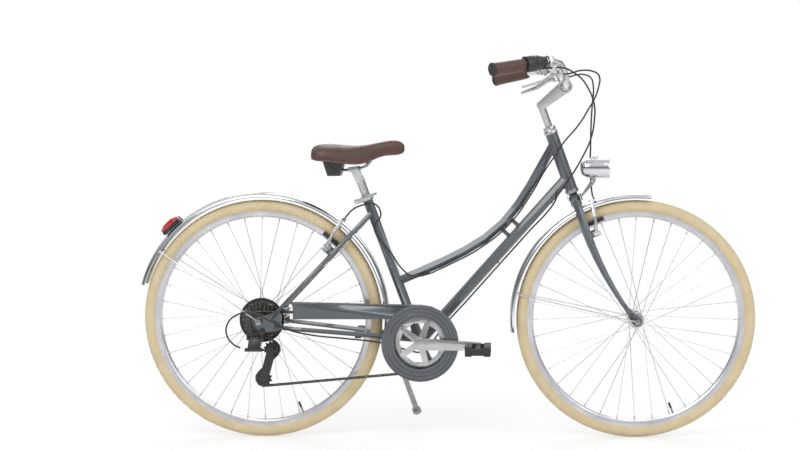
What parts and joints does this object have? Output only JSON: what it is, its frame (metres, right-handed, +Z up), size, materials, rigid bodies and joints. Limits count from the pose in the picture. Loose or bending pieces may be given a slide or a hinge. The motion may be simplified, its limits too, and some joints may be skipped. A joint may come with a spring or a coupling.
{
  "type": "step through bike",
  "caption": "City bike with a step-through frame, spoked wheels with mudguards, derailleur chain drive, rim brakes, sprung saddle, lamps, bell and side stand.",
  "frame": {"origin": "on the ground, under the middle of the bike", "axes": "+X is the riding direction, +Y the left side, +Z up"},
  "size_m": [1.795, 0.6322, 1.1323],
  "materials": {
    "paint": "glossy dark grey metallic paint",
    "chrome": "bright chromed steel",
    "alloy": "satin silver alloy",
    "steel": "zinc plated steel",
    "dark_steel": "dark oiled steel",
    "tyre": "cream rubber with a dull skin",
    "black_rubber": "matt black rubber",
    "black_plastic": "satin black plastic",
    "leather": "dark brown leather",
    "clear_plastic": "clear fluted lens",
    "red_plastic": "red transparent lens"
  },
  "bodies": {
    "frame": {"frame": "paint", "bottom_bracket_cartridge": "dark_steel", "headset_upper_cup": "alloy", "headset_lower_cup": "dark_steel", "rear_axle": "steel", "rear_mudguard": "chrome", "tail_lamp_body": "black_plastic", "tail_lamp_lens": "red_plastic", "chain_guard": "paint", "seat_clamp": "alloy", "derailleur_bracket": "dark_steel", "chain": "dark_steel", "gear_cable": "black_rubber", "rear_brake_cable": "black_rubber"},
    "steering": {"fork": "paint", "headset_locknut": "alloy", "front_axle": "steel", "front_mudguard": "chrome", "headlamp_bracket": "dark_steel", "stem": "alloy", "handlebar": "chrome", "grip_right": "leather", "grip_left": "leather", "brake_bracket_right": "alloy", "brake_bracket_left": "alloy", "bell": "chrome", "shifter_housing": "black_plastic", "front_brake_cable": "black_rubber"},
    "front_wheel": {"front_tyre": "tyre", "front_rim": "chrome", "front_hub_and_spokes": "chrome"},
    "rear_wheel": {"rear_tyre": "tyre", "rear_rim": "chrome", "rear_hub_and_spokes": "chrome", "spoke_protector": "black_plastic"},
    "freewheel": {"freewheel": "dark_steel"},
    "cranks": {"crank_right": "alloy", "crank_left": "alloy"},
    "pedal_right": {"pedal_right": "black_rubber"},
    "pedal_left": {"pedal_left": "black_rubber"},
    "brake_lever_right": {"brake_lever_right": "alloy"},
    "brake_lever_left": {"brake_lever_left": "alloy"},
    "rear_brake_arm_right": {"rear_brake_arm_right": "alloy"},
    "rear_brake_arm_left": {"rear_brake_arm_left": "alloy"},
    "front_brake_arm_right": {"front_brake_arm_right": "alloy"},
    "front_brake_arm_left": {"front_brake_arm_left": "alloy"},
    "shifter_grip": {"shifter_grip": "black_plastic"},
    "derailleur_link": {"derailleur_link": "dark_steel"},
    "derailleur_knuckle": {"derailleur_knuckle": "black_plastic"},
    "derailleur_cage": {"derailleur_cage": "steel"},
    "upper_pulley": {"upper_pulley": "black_plastic"},
    "lower_pulley": {"lower_pulley": "black_plastic"},
    "bell_lever": {"bell_lever": "dark_steel"},
    "headlamp": {"headlamp_body": "chrome", "headlamp_lens": "clear_plastic"},
    "side_stand": {"side_stand": "alloy"},
    "seat": {"seat_post": "alloy", "saddle_rails": "dark_steel", "saddle_cover": "leather"},
    "seat_clamp_lever": {"seat_clamp_lever": "alloy"}
  },
  "joints": [
    {"name": "steering_turn", "type": "hinge", "parent": "frame", "child": "steering", "pos_m": [0.50343, 0, 0.33258], "axis": [-0.342, 0, 0.9397], "range_deg": [-75, 75], "deforming": ["gear_cable", "rear_brake_cable"]},
    {"name": "front_wheel_spin", "type": "hinge", "parent": "steering", "child": "front_wheel", "pos_m": [0.54854, 0, 0.349], "axis": [0, 1, 0], "continuous": true},
    {"name": "rear_wheel_spin", "type": "hinge", "parent": "frame", "child": "rear_wheel", "pos_m": [-0.54146, 0, 0.349], "axis": [0, 1, 0], "continuous": true},
    {"name": "crank_spin", "type": "hinge", "parent": "frame", "child": "cranks", "pos_m": [-0.07846, 0, 0.286], "axis": [0, 1, 0], "range_deg": [-25, 262], "deforming": ["chain"]},
    {"name": "pedal_right_spin", "type": "hinge", "parent": "cranks", "child": "pedal_right", "pos_m": [0.09144, 0, 0.28007], "axis": [0, 1, 0], "continuous": true},
    {"name": "pedal_left_spin", "type": "hinge", "parent": "cranks", "child": "pedal_left", "pos_m": [-0.24836, 0, 0.29193], "axis": [0, 1, 0], "continuous": true},
    {"name": "freewheel_spin", "type": "hinge", "parent": "frame", "child": "freewheel", "pos_m": [-0.54146, 0, 0.349], "axis": [0, 1, 0], "range_deg": [-76, 787]},
    {"name": "derailleur_swing", "type": "hinge", "parent": "frame", "child": "derailleur_link", "pos_m": [-0.54146, -0.068, 0.301], "axis": [1, 0, 0], "range_deg": [0, 48.5]},
    {"name": "knuckle_level", "type": "hinge", "parent": "derailleur_link", "child": "derailleur_knuckle", "pos_m": [-0.54146, -0.09243, 0.27189], "axis": [1, 0, 0], "range_deg": [-48.5, 0]},
    {"name": "cage_tension", "type": "hinge", "parent": "derailleur_knuckle", "child": "derailleur_cage", "pos_m": [-0.50766, 0, 0.269], "axis": [0, 1, 0], "range_deg": [-10, 25], "stiffness_Nm_per_rad": 1},
    {"name": "upper_pulley_spin", "type": "hinge", "parent": "derailleur_cage", "child": "upper_pulley", "pos_m": [-0.50766, 0, 0.269], "axis": [0, 1, 0], "range_deg": [-1001, 96]},
    {"name": "lower_pulley_spin", "type": "hinge", "parent": "derailleur_cage", "child": "lower_pulley", "pos_m": [-0.53154, 0, 0.18326], "axis": [0, 1, 0], "range_deg": [-96, 1001]},
    {"name": "shifter_twist", "type": "hinge", "parent": "steering", "child": "shifter_grip", "pos_m": [0.2219, -0.24101, 1.07394], "axis": [0.8246, 0.5437, 0.1564], "range_deg": [0, 120]},
    {"name": "lever_right_pull", "type": "hinge", "parent": "steering", "child": "brake_lever_right", "pos_m": [0.30354, -0.165, 1.055], "axis": [-0.6281, 0.7781, 0], "range_deg": [0, 15], "stiffness_Nm_per_rad": 2, "springref_deg": -17.19},
    {"name": "lever_left_pull", "type": "hinge", "parent": "steering", "child": "brake_lever_left", "pos_m": [0.30354, 0.165, 1.055], "axis": [0.6281, 0.7781, 0], "range_deg": [0, 15], "stiffness_Nm_per_rad": 2, "springref_deg": -17.19, "deforming": ["front_brake_cable"]},
    {"name": "rear_arm_right_close", "type": "hinge", "parent": "frame", "child": "rear_brake_arm_right", "pos_m": [-0.33466, -0.04224, 0.54072], "axis": [-0.7257, 0, 0.688], "range_deg": [0, 3.3]},
    {"name": "rear_arm_left_close", "type": "hinge", "parent": "frame", "child": "rear_brake_arm_left", "pos_m": [-0.33466, 0.04224, 0.54072], "axis": [0.7257, 0, -0.688], "range_deg": [0, 3.3]},
    {"name": "front_arm_right_close", "type": "hinge", "parent": "steering", "child": "front_brake_arm_right", "pos_m": [0.40732, -0.04781, 0.59309], "axis": [-0.9325, 0, -0.3611], "range_deg": [0, 3.3]},
    {"name": "front_arm_left_close", "type": "hinge", "parent": "steering", "child": "front_brake_arm_left", "pos_m": [0.40732, 0.04781, 0.59309], "axis": [0.9325, 0, 0.3611], "range_deg": [0, 3.3]},
    {"name": "bell_lever_push", "type": "hinge", "parent": "steering", "child": "bell_lever", "pos_m": [0.27097, 0.20866, 1.10725], "axis": [0, 0, 1], "range_deg": [0, 30], "stiffness_Nm_per_rad": 0.1, "springref_deg": -11.46},
    {"name": "headlamp_tilt", "type": "hinge", "parent": "steering", "child": "headlamp", "pos_m": [0.42354, 0, 0.753], "axis": [0, 1, 0], "range_deg": [-10, 15]},
    {"name": "stand_fold", "type": "hinge", "parent": "frame", "child": "side_stand", "pos_m": [-0.16246, 0.03, 0.262], "axis": [0.2391, 0.8094, 0.5363], "range_deg": [0, 105]},
    {"name": "seat_height", "type": "slide", "parent": "frame", "child": "seat", "axis": [-0.342, 0, 0.9397], "range_m": [-0.03, 0.045]},
    {"name": "seat_lever_open", "type": "hinge", "parent": "frame", "child": "seat_clamp_lever", "pos_m": [-0.26452, -0.0248, 0.69281], "axis": [0.342, 0, -0.9397], "range_deg": [0, 100]}
  ],
  "couplings": [
    {"joint": "freewheel_spin", "follows": "crank_spin", "ratio": 3},
    {"joint": "upper_pulley_spin", "follows": "crank_spin", "ratio": -3.8182},
    {"joint": "lower_pulley_spin", "follows": "crank_spin", "ratio": 3.8182},
    {"joint": "derailleur_swing", "follows": "shifter_twist", "ratio": 0.4},
    {"joint": "knuckle_level", "follows": "shifter_twist", "ratio": -0.4},
    {"joint": "rear_arm_right_close", "follows": "lever_right_pull", "ratio": 0.2195},
    {"joint": "rear_arm_left_close", "follows": "lever_right_pull", "ratio": 0.2195},
    {"joint": "front_arm_right_close", "follows": "lever_left_pull", "ratio": 0.2195},
    {"joint": "front_arm_left_close", "follows": "lever_left_pull", "ratio": 0.2195}
  ]
}
